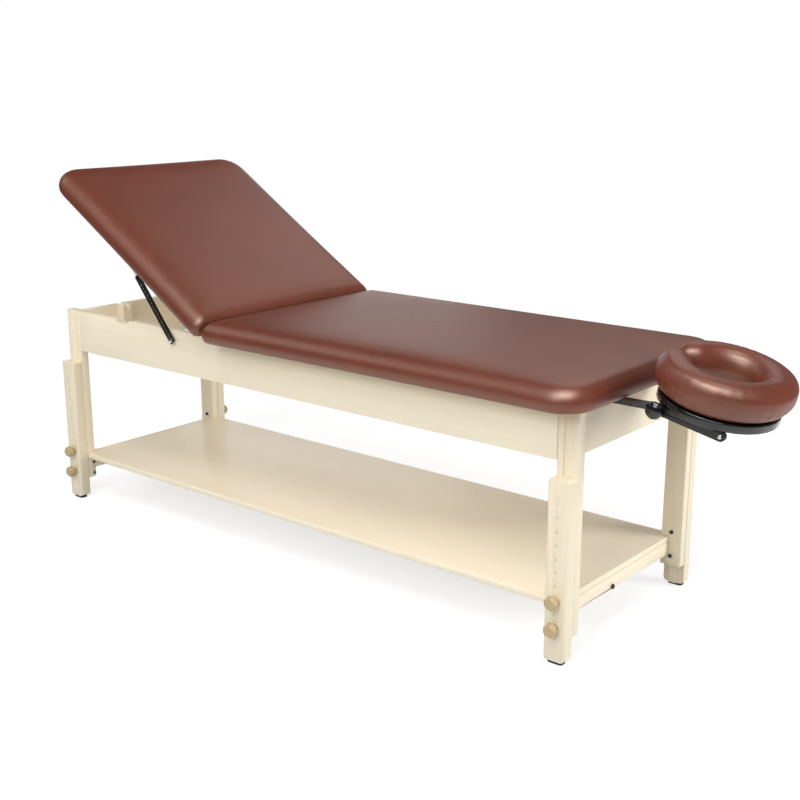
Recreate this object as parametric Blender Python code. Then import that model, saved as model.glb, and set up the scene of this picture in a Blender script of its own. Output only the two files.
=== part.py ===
"""Massage table with a lifting back section, lower shelf, adjustable legs and a face cradle.

Metres, +Z up. The long axis is X with the face cradle at the +X end; the front side faces -Y.
"""
import math

import bmesh
import bpy
from mathutils import Matrix, Vector

# Frame
FRAME_LENGTH = 1.806
FRAME_WIDTH = 0.540
FRAME_TOP = 0.588
GAP = 0.0003
EASE = 0.0015
APRON_HEIGHT = 0.122
BOARD = 0.022
SCOOP_START = -0.679
SCOOP_END = -0.607
SCOOP_DEPTH = 0.010

# Legs
POST_WIDTH = 0.056
POST_DEPTH = 0.026
POST_BOTTOM = 0.063
GROOVE_WIDTH = 0.022
GROOVE_DEPTH = 0.005
LEG_DEPTH = 0.032
LEG_TOP = 0.434
LEG_WALL = 0.006
LEG_SLOT = 0.010
LEG_CORNER = 0.009
POCKET_END = 0.005
FOOT_HEIGHT = 0.008
HOLE_COUNT = 10
HOLE_PITCH = 0.03225
HOLE_RADIUS = 0.0036
FIRST_HOLE = 0.0885
BOLT_RADIUS = 0.004
BOLT_PLAY = 0.0004
KNOB_RADIUS = 0.0165
KNOB_LENGTH = 0.024
KNOB_FLUTES = 9

# Shelf
SHELF_TOP = 0.141
SHELF_BOARD = 0.016
STRETCHER_HEIGHT = 0.034
STRETCHER_BOLT_Y = -0.037

# Pads and decks
PAD_WIDTH = 0.690
PAD_HEIGHT = 0.0645
PAD_CROWN = 0.004
PAD_EDGE = 0.036
PAD_TUCK = 0.012
PAD_DRAW = 0.003
PAD_FAR_RADIUS = 0.075
PAD_NEAR_RADIUS = 0.022
MAIN_LENGTH = 1.154
BACK_LENGTH = 0.712
DECK_BOARD = 0.012
DECK_INSET = 0.014

# Back hinge
HINGE_X = -0.2234
HINGE_Z = 0.612
HINGE_WIDTH = 0.470
HINGE_REACH = 0.034
KNUCKLES = 5
LEAF = 0.002
KNUCKLE = 0.0045
PIN_RADIUS = 0.0022
HALF_GAP = 0.005
BACK_TILT = 32.2

# Back stays
STAY_X = -0.4135
STAY_Z = 0.560
STAY_ANGLE = 50.9
STAY_LENGTH = 0.300
STAY_WIDTH = 0.016
STAY_WALL = 0.0016
STAY_STANDOFF = 0.003
STAY_DEPTH = 0.008
CHANNEL_TOP = 0.215
CHANNEL_FOOT = 0.011
PERFORATIONS = 12
PERFORATION_START = 0.046
PERFORATION_PITCH = 0.0125
PERFORATION_RADIUS = 0.0034
STAY_BAR_LENGTH = 0.125
STAY_BAR_BOARD = 0.0045
STAY_PIN = 0.004
BRACKET_X = -0.4142
BRACKET_OUT = 0.0165
BRACKET_BOARD = 0.003
BRACKET_DROP = 0.039
WINDOW_WIDTH = 0.034
WINDOW_TOP = 0.007
WINDOW_BOTTOM = 0.0345

# Face cradle
ARM_Y = 0.105
ARM_WIDTH = 0.016
ARM_HEIGHT = 0.015
ARM_START = 0.700
SOCKET_WIDTH = 0.035
SOCKET_HEIGHT = 0.060
SOCKET_BOARD = 0.024
CRADLE_X = 1.003
CRADLE_Z = 0.577
CRADLE_TILT = 12.6
RAIL_BOARD = 0.011
RAIL_HEIGHT = 0.022
RAIL_END = 0.165
PLATE_BOARD = 0.020
CUSHION_U = 0.084
CUSHION_LONG = 0.150
CUSHION_WIDE = 0.163
TUBE_HALF = 0.040
TUBE_RISE = 0.043
CRADLE_KNOB_RADIUS = 0.0205
CRADLE_KNOB_LENGTH = 0.021

OUTER = FRAME_WIDTH / 2
INNER = OUTER - POST_DEPTH
LEG_X = FRAME_LENGTH / 2 - POST_WIDTH / 2
POST_FACE = FRAME_LENGTH / 2 - POST_WIDTH
END_FACE = POST_FACE + BOARD
PAD_BASE = FRAME_TOP + GAP
LEG_BOTTOM = FOOT_HEIGHT + GAP
LEG_FRONT = OUTER + GAP + LEG_DEPTH
SHELF_BASE = SHELF_TOP - SHELF_BOARD
SOCKET_FLOOR = CRADLE_Z - ARM_HEIGHT / 2 - GAP
PIN_WASHER = 0.0075

LEGS = {
    "front_left": (-1, -1),
    "front_right": (1, -1),
    "back_left": (-1, 1),
    "back_right": (1, 1),
}
SIDES = {"front": -1, "back": 1}


def clear_scene():
    """Remove everything the file opens with."""
    for obj in list(bpy.data.objects):
        bpy.data.objects.remove(obj)


def finish(name, colour, roughness, metallic=0.0):
    """Plain surface for one kind of piece."""
    surface = bpy.data.materials.new(name)
    surface.use_nodes = True
    shader = surface.node_tree.nodes["Principled BSDF"]
    shader.inputs["Base Color"].default_value = (*colour, 1.0)
    shader.inputs["Roughness"].default_value = roughness
    shader.inputs["Metallic"].default_value = metallic
    return surface


def empty(name, parent, location, tilt=0.0):
    """Pivot point that pieces hang from, turned about Y."""
    pivot = bpy.data.objects.new(name, None)
    bpy.context.scene.collection.objects.link(pivot)
    pivot.parent = parent
    pivot.location = location
    pivot.rotation_euler = (0.0, math.radians(tilt), 0.0)
    return pivot


def piece(name, bm, surface, parent, location=(0.0, 0.0, 0.0)):
    """Turn a finished mesh into one named piece."""
    bmesh.ops.recalc_face_normals(bm, faces=bm.faces)
    mesh = bpy.data.meshes.new(name)
    bm.to_mesh(mesh)
    bm.free()
    mesh.materials.append(surface)
    obj = bpy.data.objects.new(name, mesh)
    bpy.context.scene.collection.objects.link(obj)
    obj.parent = parent
    obj.location = location
    return obj


def carve(obj, bm, operation="DIFFERENCE"):
    """Cut, trim or join a piece with a second shape given in the same space."""
    tool = piece("tool", bm, obj.data.materials[0], obj.parent, obj.location)
    tool.hide_render = True
    tool.display_type = "WIRE"
    step = obj.modifiers.new("carve", "BOOLEAN")
    step.operation = operation
    step.solver = "EXACT"
    step.object = tool
    bpy.context.view_layer.update()
    shaped = bpy.data.meshes.new_from_object(obj.evaluated_get(bpy.context.evaluated_depsgraph_get()))
    obj.modifiers.remove(step)
    obj.data = shaped
    bpy.data.objects.remove(tool)


def rounded(corners, radii, steps=4):
    """Outline through the corners, each rounded to its radius."""
    outline = []
    for index, corner in enumerate(corners):
        here = Vector(corner)
        radius = radii[index]
        if radius <= 0.0:
            outline.append(here)
            continue
        before = (Vector(corners[index - 1]) - here).normalized()
        after = (Vector(corners[(index + 1) % len(corners)]) - here).normalized()
        half = before.angle(after) / 2
        centre = here + (before + after).normalized() * radius / math.sin(half)
        start = here + before * radius / math.tan(half) - centre
        end = here + after * radius / math.tan(half) - centre
        turn = math.atan2(start.x * end.y - start.y * end.x, start.dot(end))
        for step in range(steps + 1):
            outline.append(centre + Matrix.Rotation(turn * step / steps, 2) @ start)
    return outline


def rectangle(low, high, radius=0.0, steps=4):
    """Rectangle outline with like rounded corners."""
    corners = [(low[0], low[1]), (high[0], low[1]), (high[0], high[1]), (low[0], high[1])]
    return rounded(corners, [radius] * 4, steps)


def circle(centre, radius, count=12):
    """Round outline."""
    turns = [2 * math.pi * (i + 0.5) / count for i in range(count)]
    return [(centre[0] + radius * math.cos(a), centre[1] + radius * math.sin(a)) for a in turns]


def prism(bm, outline, low, high, axis):
    """Straight solid with the outline as its cross-section along one axis."""
    place = {
        "X": lambda a, b, t: (t, a, b),
        "Y": lambda a, b, t: (a, t, b),
        "Z": lambda a, b, t: (a, b, t),
    }[axis]
    first = [bm.verts.new(place(a, b, low)) for a, b in outline]
    last = [bm.verts.new(place(a, b, high)) for a, b in outline]
    bm.faces.new(first)
    bm.faces.new(last)
    for i in range(len(first)):
        bm.faces.new((first[i - 1], first[i], last[i], last[i - 1]))
    return bm


def eased(bm, width):
    """Take the sharpness off the level edges of a board."""
    bmesh.ops.recalc_face_normals(bm, faces=bm.faces)
    level = [edge for edge in bm.edges if abs(edge.verts[0].co.z - edge.verts[1].co.z) < width]
    bmesh.ops.bevel(bm, geom=level, offset=width, segments=1, affect="EDGES")
    return bm


def block(low, high, ease=EASE):
    """Rectangular board with eased edges."""
    bm = prism(bmesh.new(), rectangle(low[:2], high[:2]), low[2], high[2], "Z")
    return eased(bm, ease) if ease else bm


def skin(bm, rings):
    """Closed body over a run of rings with a flat cap at each end."""
    loops = [[bm.verts.new(point) for point in ring] for ring in rings]
    bm.faces.new(loops[0])
    bm.faces.new(loops[-1])
    for lower, upper in zip(loops, loops[1:]):
        for i in range(len(lower)):
            bm.faces.new((lower[i - 1], lower[i], upper[i], upper[i - 1]))
    return bm


def turned(bm, profile, frame, segments=12, flutes=0, flute=0.0):
    """Body of revolution about the frame's Z axis, its wide part scalloped where flutes are given."""
    widest = max(radius for radius, _ in profile)
    rings = []
    for radius, along in profile:
        ring = []
        for i in range(segments):
            angle = 2 * math.pi * i / segments
            dip = flute * (0.5 - 0.5 * math.cos(flutes * angle)) if radius > 0.9 * widest else 0.0
            reach = radius - dip
            ring.append(frame @ Vector((reach * math.cos(angle), reach * math.sin(angle), along)))
        rings.append(ring)
    return skin(bm, rings)


def facing(direction, location=(0.0, 0.0, 0.0)):
    """Frame whose Z axis points in the given direction."""
    return Matrix.Translation(location) @ Vector(direction).to_track_quat("Z", "Y").to_matrix().to_4x4()


def leg_holes():
    """Heights of the two clamp bolts on each post."""
    return (FIRST_HOLE, FIRST_HOLE + 2 * HOLE_PITCH)


def build_frame(root, wood, black):
    """Posts, aprons, stretchers, shelf and their bolts."""
    half = POST_WIDTH / 2
    groove = GROOVE_WIDTH / 2
    floor = OUTER - GROOVE_DEPTH
    corners = [(-half, INNER), (half, INNER), (half, OUTER), (groove, OUTER),
               (groove, floor), (-groove, floor), (-groove, OUTER), (-half, OUTER)]
    section = rounded(corners, [0.002, 0.002, 0.003, 0.0, 0.0, 0.0, 0.0, 0.003], 2)
    for name, (sx, sy) in LEGS.items():
        outline = [(LEG_X * sx + x, y * sy) for x, y in section]
        post = piece("post_" + name, prism(bmesh.new(), outline, POST_BOTTOM, FRAME_TOP, "Z"), wood, root)
        bores = bmesh.new()
        for height in leg_holes():
            bore = circle((LEG_X * sx, height), BOLT_RADIUS + BOLT_PLAY, 10)
            prism(bores, bore, sy * (INNER - 0.01), sy * (OUTER + 0.01), "Y")
        carve(post, bores)

    reach = POST_FACE - GAP
    base = FRAME_TOP - APRON_HEIGHT
    lip = FRAME_TOP - SCOOP_DEPTH
    corners = [(-reach, base), (reach, base), (reach, FRAME_TOP), (SCOOP_END, FRAME_TOP),
               (SCOOP_END - SCOOP_DEPTH, lip), (SCOOP_START + SCOOP_DEPTH, lip),
               (SCOOP_START, FRAME_TOP), (-reach, FRAME_TOP)]
    outline = rounded(corners, [0.0, 0.0, 0.0, 0.008, 0.008, 0.008, 0.008, 0.0], 3)
    for name, sy in SIDES.items():
        apron = prism(bmesh.new(), outline, sy * (OUTER - BOARD), sy * OUTER, "Y")
        apron = piece("apron_" + name, apron, wood, root)
        bore = circle((STAY_X, STAY_Z), BOLT_RADIUS + BOLT_PLAY, 12)
        carve(apron, prism(bmesh.new(), bore, sy * (OUTER - BOARD - 0.01), sy * (OUTER + 0.01), "Y"))

    across = INNER - GAP
    slot = ARM_WIDTH / 2 + GAP
    wide = SOCKET_WIDTH / 2
    deep = END_FACE - BOARD - SOCKET_BOARD
    low = FRAME_TOP - SOCKET_HEIGHT
    for name, sx in (("left", -1), ("right", 1)):
        board = [(-across, base), (across, base), (across, FRAME_TOP), (-across, FRAME_TOP)]
        apron = prism(bmesh.new(), board, sx * POST_FACE, sx * END_FACE, "X")
        apron = piece("end_apron_" + name, apron, wood, root)
        sockets = bmesh.new()
        slots = bmesh.new()
        for centre in (ARM_Y, -ARM_Y):
            boss = rectangle((centre - wide, low), (centre + wide, FRAME_TOP))
            prism(sockets, boss, sx * deep, sx * (POST_FACE + BOARD / 2), "X")
            notch = rectangle((centre - slot, SOCKET_FLOOR), (centre + slot, FRAME_TOP + 0.01))
            prism(slots, notch, sx * (deep - 0.01), sx * (END_FACE + 0.01), "X")
        carve(apron, sockets, "UNION")
        carve(apron, slots)

        top = SHELF_BASE - GAP
        ends = sorted((sx * POST_FACE, sx * END_FACE))
        rail = block((ends[0], -across, top - STRETCHER_HEIGHT), (ends[1], across, top))
        rail = piece("stretcher_" + name, rail, wood, root)
        if sx > 0:
            bore = circle((STRETCHER_BOLT_Y, top - STRETCHER_HEIGHT * 0.8), BOLT_RADIUS + BOLT_PLAY, 10)
            carve(rail, prism(bmesh.new(), bore, ends[0] - 0.01, ends[1] + 0.01, "X"))

    corners = [(END_FACE, -across), (END_FACE, across), (reach, across), (reach, OUTER),
               (-reach, OUTER), (-reach, across), (-END_FACE, across), (-END_FACE, -across),
               (-reach, -across), (-reach, -OUTER), (reach, -OUTER), (reach, -across)]
    board = prism(bmesh.new(), corners, SHELF_BASE, SHELF_TOP, "Z")
    piece("shelf", eased(board, EASE), wood, root)

    tip = LEG_FRONT - LEG_WALL - 0.0005 - INNER
    for name, (sx, sy) in LEGS.items():
        profile = [(0.0030, -0.0050), (0.0046, -0.0038), (0.0052, -GAP),
                   (BOLT_RADIUS, -GAP), (BOLT_RADIUS, tip)]
        for level, height in zip(("lower", "upper"), leg_holes()):
            bolt = turned(bmesh.new(), profile, facing((0, sy, 0), (LEG_X * sx, INNER * sy, height)), 10)
            piece("leg_bolt_" + name + "_" + level, bolt, black, root)

    profile = [(0.0035, -0.0052), (0.0062, -0.0036), (0.0068, -GAP),
               (BOLT_RADIUS, -GAP), (BOLT_RADIUS, BOARD)]
    height = SHELF_BASE - GAP - STRETCHER_HEIGHT * 0.8
    bolt = turned(bmesh.new(), profile, facing((-1, 0, 0), (END_FACE, STRETCHER_BOLT_Y, height)), 10)
    piece("stretcher_bolt", bolt, black, root)


def build_legs(root, wood, rubber, tan):
    """Sliding leg extensions, their rubber feet and the fluted hand knobs."""
    half = POST_WIDTH / 2
    tongue = GROOVE_WIDTH / 2 - GAP
    slot = LEG_SLOT / 2
    back = OUTER + GAP
    tip = OUTER - GROOVE_DEPTH + GAP
    deep = LEG_FRONT - LEG_WALL
    corners = [(-half, LEG_FRONT), (-half, back), (-tongue, back), (-tongue, tip),
               (tongue, tip), (tongue, back), (half, back), (half, LEG_FRONT)]
    section = rounded(corners, [0.007] + [0.0] * 6 + [0.007], 3)
    for name, (sx, sy) in LEGS.items():
        outline = [(LEG_X * sx + x, y * sy) for x, y in section]
        leg = piece("leg_" + name, prism(bmesh.new(), outline, LEG_BOTTOM, LEG_TOP, "Z"), wood, root)
        low = (LEG_X * sx - half, LEG_BOTTOM)
        high = (LEG_X * sx + half, LEG_TOP)
        ends = sorted((sy * (tip - 0.01), sy * (LEG_FRONT + 0.01)))
        carve(leg, prism(bmesh.new(), rectangle(low, high, LEG_CORNER), ends[0], ends[1], "Y"), "INTERSECT")
        first = FIRST_HOLE - BOLT_RADIUS - POCKET_END
        last = FIRST_HOLE + (HOLE_COUNT - 1) * HOLE_PITCH + BOLT_RADIUS + POCKET_END
        pocket = rectangle((LEG_X * sx - slot, first), (LEG_X * sx + slot, last), slot - 0.0005)
        carve(leg, prism(bmesh.new(), pocket, sy * (tip - 0.01), sy * deep, "Y"))
        holes = bmesh.new()
        for index in range(HOLE_COUNT):
            hole = circle((LEG_X * sx, FIRST_HOLE + index * HOLE_PITCH), HOLE_RADIUS, 10)
            prism(holes, hole, sy * (deep - 0.002), sy * (LEG_FRONT + 0.002), "Y")
        carve(leg, holes)

        flat = half - LEG_CORNER
        middle = sy * (back + LEG_DEPTH / 2)
        corner = (LEG_X * sx - flat, middle - 0.011)
        outline = rectangle(corner, (LEG_X * sx + flat, middle + 0.011), 0.006, 3)
        foot = prism(bmesh.new(), outline, 0.0, FOOT_HEIGHT, "Z")
        piece("foot_" + name, foot, rubber, root)

        profile = [(0.62 * KNOB_RADIUS, 0.0), (0.70 * KNOB_RADIUS, 0.22 * KNOB_LENGTH),
                   (KNOB_RADIUS, 0.34 * KNOB_LENGTH), (0.96 * KNOB_RADIUS, 0.86 * KNOB_LENGTH),
                   (0.76 * KNOB_RADIUS, KNOB_LENGTH)]
        for level, height in zip(("lower", "upper"), leg_holes()):
            knob = turned(bmesh.new(), profile, facing((0, sy, 0)), 3 * KNOB_FLUTES, KNOB_FLUTES, 0.0022)
            seat = (LEG_X * sx, sy * (LEG_FRONT + GAP), height)
            piece("knob_" + name + "_" + level, knob, tan, root, seat)


def pad_outline(length, inset):
    """Plan outline of a pad at an inset from its edge, its sides drawn in a little."""
    half = PAD_WIDTH / 2 - inset
    near = max(PAD_NEAR_RADIUS - inset, 0.004)
    far = max(PAD_FAR_RADIUS - inset, 0.004)
    low = inset
    high = length - inset
    corners = [(low + near, near - half, near, 180), (high - far, far - half, far, 270),
               (high - far, half - far, far, 0), (low + near, half - near, near, 90)]
    arcs = []
    for x, y, radius, start in corners:
        turns = [math.radians(start + 15 * step) for step in range(7)]
        arcs.append([Vector((x + radius * math.cos(a), y + radius * math.sin(a))) for a in turns])
    outline = []
    for index, arc in enumerate(arcs):
        outline += arc
        start = arc[-1]
        end = arcs[(index + 1) % 4][0]
        inward = Vector((start.y - end.y, end.x - start.x)).normalized()
        count = 7 if index % 2 == 0 else 4
        draw = PAD_DRAW if index % 2 == 0 else PAD_DRAW / 2
        if index == 3:
            draw = 0.0
        for step in range(1, count):
            share = step / count
            outline.append(start.lerp(end, share) + inward * draw * math.sin(math.pi * share))
    return outline


def pad_shape(length, sign, base):
    """Crowned pad with round edges and a pocket below for its deck board."""
    edge_top = PAD_HEIGHT - PAD_CROWN
    profile = [(0.270, PAD_HEIGHT), (0.190, PAD_HEIGHT - 0.0003), (0.120, PAD_HEIGHT - 0.0009),
               (0.065, PAD_HEIGHT - 0.0021)]
    for degrees in (8, 30, 52, 72, 90):
        a = math.radians(degrees)
        profile.append((PAD_EDGE * (1 - math.sin(a)), edge_top - PAD_EDGE * (1 - math.cos(a))))
    for degrees in (90, 50, 18, 0):
        a = math.radians(degrees)
        profile.append((PAD_TUCK * (1 - math.sin(a)), PAD_TUCK * (1 - math.cos(a))))
    pocket = DECK_INSET - GAP
    profile += [(pocket, 0.0), (pocket, DECK_BOARD + GAP)]
    rings = []
    for inset, height in profile:
        rings.append([(sign * (HALF_GAP + x), y, base + height) for x, y in pad_outline(length, inset)])
    return skin(bmesh.new(), rings)


def deck_shape(length, sign, base):
    """Board that stiffens a pad from below."""
    outline = [(sign * (HALF_GAP + x), y) for x, y in pad_outline(length, DECK_INSET)]
    return prism(bmesh.new(), outline, base, base + DECK_BOARD, "Z")


def hinge_leaf(name, sign, surface, parent, centre):
    """Leaf of the long hinge: a flange below the deck, an upright in the gap and every second knuckle."""
    half = HINGE_WIDTH / 2
    top = PAD_BASE - GAP - HINGE_Z
    inside = sign * 0.0007
    outside = sign * (0.0007 + LEAF)
    brow = -KNUCKLE - 0.0007
    outline = [(inside, top - LEAF), (sign * HINGE_REACH, top - LEAF), (sign * HINGE_REACH, top),
               (outside, top), (outside, brow), (inside, brow)]
    leaf = prism(bmesh.new(), shifted(outline, centre), -half, half, "Y")
    leaf = piece(name, leaf, surface, parent)
    pitch = HINGE_WIDTH / KNUCKLES
    for segment in range(0 if sign > 0 else 1, KNUCKLES, 2):
        low = segment * pitch - half + GAP
        high = low + pitch - 2 * GAP
        web = [(inside, brow - 0.0004), (outside, brow - 0.0004), (outside, -0.003), (inside, -0.003)]
        carve(leaf, prism(bmesh.new(), shifted(web, centre), low, high, "Y"), "UNION")
        carve(leaf, prism(bmesh.new(), circle(centre, KNUCKLE, 16), low, high, "Y"), "UNION")
    if sign > 0:
        pin = prism(bmesh.new(), circle(centre, PIN_RADIUS, 12), 0.002 - half, half - 0.002, "Y")
        carve(leaf, pin, "UNION")
    else:
        carve(leaf, prism(bmesh.new(), circle(centre, PIN_RADIUS + GAP, 12), -half, half, "Y"))


def shifted(outline, centre):
    """Outline moved to a centre."""
    return [(centre[0] + a, centre[1] + b) for a, b in outline]


def build_top(root, back, leather, ply, steel):
    """Main pad and deck on the frame, back pad and deck on the hinge, and the hinges between them."""
    lift = PAD_BASE - HINGE_Z
    for name, length, sign, parent in (("main", MAIN_LENGTH, 1, root), ("back", BACK_LENGTH, -1, back)):
        offset = Vector((HINGE_X, 0.0, HINGE_Z)) if parent is root else Vector((0.0, 0.0, 0.0))
        pad = pad_shape(length, sign, lift)
        deck = deck_shape(length, sign, lift)
        for bm in (pad, deck):
            bmesh.ops.translate(bm, verts=bm.verts[:], vec=offset)
        piece(name + "_pad", pad, leather, parent)
        piece(name + "_deck", deck, ply, parent)
    hinge_leaf("hinge_leaf_fixed", 1, steel, root, (HINGE_X, HINGE_Z))
    hinge_leaf("hinge_leaf_moving", -1, steel, back, (0.0, 0.0))


def build_stays(root, back, black, steel):
    """Perforated channels with their telescoping bars, pivot bolts and slotted brackets."""
    half = STAY_WIDTH / 2
    near = OUTER + STAY_STANDOFF
    far = near + STAY_DEPTH
    web = far - STAY_WALL
    lip = half - STAY_WALL
    under = PAD_BASE - GAP - HINGE_Z
    for name, sy in SIDES.items():
        stay = empty("stay_pivot_" + name, root, (STAY_X, 0.0, STAY_Z), 180 + STAY_ANGLE)
        section = [(near, -half), (far, -half), (far, half), (near, half),
                   (near, lip), (web, lip), (web, -lip), (near, -lip)]
        section = [(y * sy, z) for y, z in section]
        channel = prism(bmesh.new(), section, -CHANNEL_FOOT, CHANNEL_TOP, "X")
        channel = piece("stay_channel_" + name, channel, black, stay)
        corners = [(-CHANNEL_FOOT, -half), (CHANNEL_TOP, -half), (CHANNEL_TOP, half), (-CHANNEL_FOOT, half)]
        trim = rounded(corners, [half - 0.0005, 0.003, 0.003, half - 0.0005], 4)
        span = sorted((sy * (near - 0.01), sy * (far + 0.01)))
        carve(channel, prism(bmesh.new(), trim, span[0], span[1], "Y"), "INTERSECT")
        holes = prism(bmesh.new(), circle((0.0, 0.0), BOLT_RADIUS + BOLT_PLAY, 12), span[0], span[1], "Y")
        for index in range(PERFORATIONS):
            place = (PERFORATION_START + index * PERFORATION_PITCH, 0.0)
            prism(holes, circle(place, PERFORATION_RADIUS, 10), span[0], span[1], "Y")
        carve(channel, holes)

        inset = lip - 0.0006
        corners = [(STAY_LENGTH - STAY_BAR_LENGTH, -inset), (STAY_LENGTH + 0.010, -inset),
                   (STAY_LENGTH + 0.010, inset), (STAY_LENGTH - STAY_BAR_LENGTH, inset)]
        outline = rounded(corners, [0.002, inset - 0.0003, inset - 0.0003, 0.002], 4)
        face = web - 0.0009
        bar = prism(bmesh.new(), outline, sy * (face - STAY_BAR_BOARD), sy * face, "Y")
        bar = piece("stay_bar_" + name, bar, black, stay)
        outer = OUTER + BRACKET_OUT + BRACKET_BOARD
        profile = [(STAY_PIN, face - 0.002), (STAY_PIN, outer + 0.0006), (0.0062, outer + 0.0006),
                   (0.0062, outer + 0.0020), (0.0040, outer + 0.0030)]
        carve(bar, turned(bmesh.new(), profile, facing((0, sy, 0), (STAY_LENGTH, 0.0, 0.0)), 14), "UNION")

        profile = [(0.0060, BOARD + GAP), (0.0060, BOARD + 0.0050), (0.0030, BOARD + 0.0062)]
        profile = [(radius, -along) for radius, along in reversed(profile)]
        head = STAY_STANDOFF + STAY_DEPTH + GAP
        collar = head - 2 * GAP - STAY_WALL
        profile += [(BOLT_RADIUS, -BOARD - GAP), (BOLT_RADIUS, GAP), (0.0056, GAP), (0.0056, collar),
                    (BOLT_RADIUS, collar), (BOLT_RADIUS, head), (PIN_WASHER, head),
                    (PIN_WASHER, head + 0.0020), (0.0045, head + 0.0038)]
        bolt = turned(bmesh.new(), profile, facing((0, sy, 0), (STAY_X, OUTER * sy, STAY_Z)), 12)
        piece("stay_pivot_bolt_" + name, bolt, steel, root)

        low = BRACKET_X - WINDOW_WIDTH / 2 - 0.025
        high = BRACKET_X + WINDOW_WIDTH / 2 + 0.008
        plate = OUTER + BRACKET_OUT
        outline = [(OUTER - 0.020, under), (OUTER - 0.020, under - BRACKET_BOARD),
                   (plate, under - BRACKET_BOARD), (plate, under - BRACKET_DROP),
                   (plate + BRACKET_BOARD, under - BRACKET_DROP), (plate + BRACKET_BOARD, under)]
        outline = [(y * sy, z) for y, z in outline]
        bracket = piece("stay_bracket_" + name, prism(bmesh.new(), outline, low, high, "X"), black, back)
        window = rectangle((BRACKET_X - WINDOW_WIDTH / 2, under - WINDOW_BOTTOM),
                           (BRACKET_X + WINDOW_WIDTH / 2, under - WINDOW_TOP), 0.008, 3)
        ends = sorted((sy * (plate - 0.004), sy * (plate + 0.010)))
        carve(bracket, prism(bmesh.new(), window, ends[0], ends[1], "Y"))
        ends = sorted((sy * (OUTER - 0.030), sy * (plate - 0.002)))
        left = SCOOP_START + SCOOP_DEPTH + 0.0025 - HINGE_X
        right = SCOOP_END - SCOOP_DEPTH - 0.0025 - HINGE_X
        for start, end in ((low - 0.010, left), (right, high + 0.010)):
            carve(bracket, block((start, ends[0], under - 0.010), (end, ends[1], under + 0.010), 0.0))


def ring_point(angle, long, wide):
    """Point of the cradle oval; angle 0 is the side facing the table."""
    return Vector((CUSHION_U - long * math.cos(angle), wide * math.sin(angle)))


def cushion_shape(base):
    """Horseshoe cushion: a soft tube whose rounded ends nearly meet beside the table."""
    long = CUSHION_LONG - TUBE_HALF
    wide = CUSHION_WIDE - TUBE_HALF
    first = math.radians(3.0)
    cap = math.radians(21.0)
    turns = [first + cap * share for share in (0.02, 0.12, 0.30, 0.60)]
    steps = 30
    start = first + cap
    turns += [start + (2 * math.pi - 2 * start) * i / steps for i in range(steps + 1)]
    turns += [2 * math.pi - turn for turn in reversed(turns[:4])]
    rings = []
    for turn in turns:
        edge = min(turn, 2 * math.pi - turn)
        short = max(0.0, (start - edge) / cap)
        scale = math.sqrt(1.0 - short * short)
        centre = ring_point(turn, long, wide)
        outward = Vector((-math.cos(turn) / long, math.sin(turn) / wide)).normalized()
        ring = []
        for i in range(16):
            a = 2 * math.pi * i / 16
            across = math.copysign(abs(math.cos(a)) ** 0.88, math.cos(a)) * TUBE_HALF * scale
            rise = math.copysign(abs(math.sin(a)) ** 0.88, math.sin(a)) * TUBE_RISE
            rise = rise * (0.35 + 0.65 * scale) if rise > 0 else rise * (0.55 + 0.45 * scale)
            spot = centre + outward * across
            ring.append((spot.x, spot.y, base + TUBE_RISE + rise))
        rings.append(ring)
    return skin(bmesh.new(), rings)


def plate_shape(base):
    """Horseshoe board under the cushion."""
    turns = [math.radians(20 + 320 * i / 28) for i in range(29)]
    outline = [ring_point(turn, CUSHION_LONG - 0.016, CUSHION_WIDE - 0.016) for turn in turns]
    inside = [ring_point(turn, CUSHION_LONG - 0.075, CUSHION_WIDE - 0.074) for turn in reversed(turns)]
    return eased(prism(bmesh.new(), outline + inside, base, base + PLATE_BOARD, "Z"), 0.0018)


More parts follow.
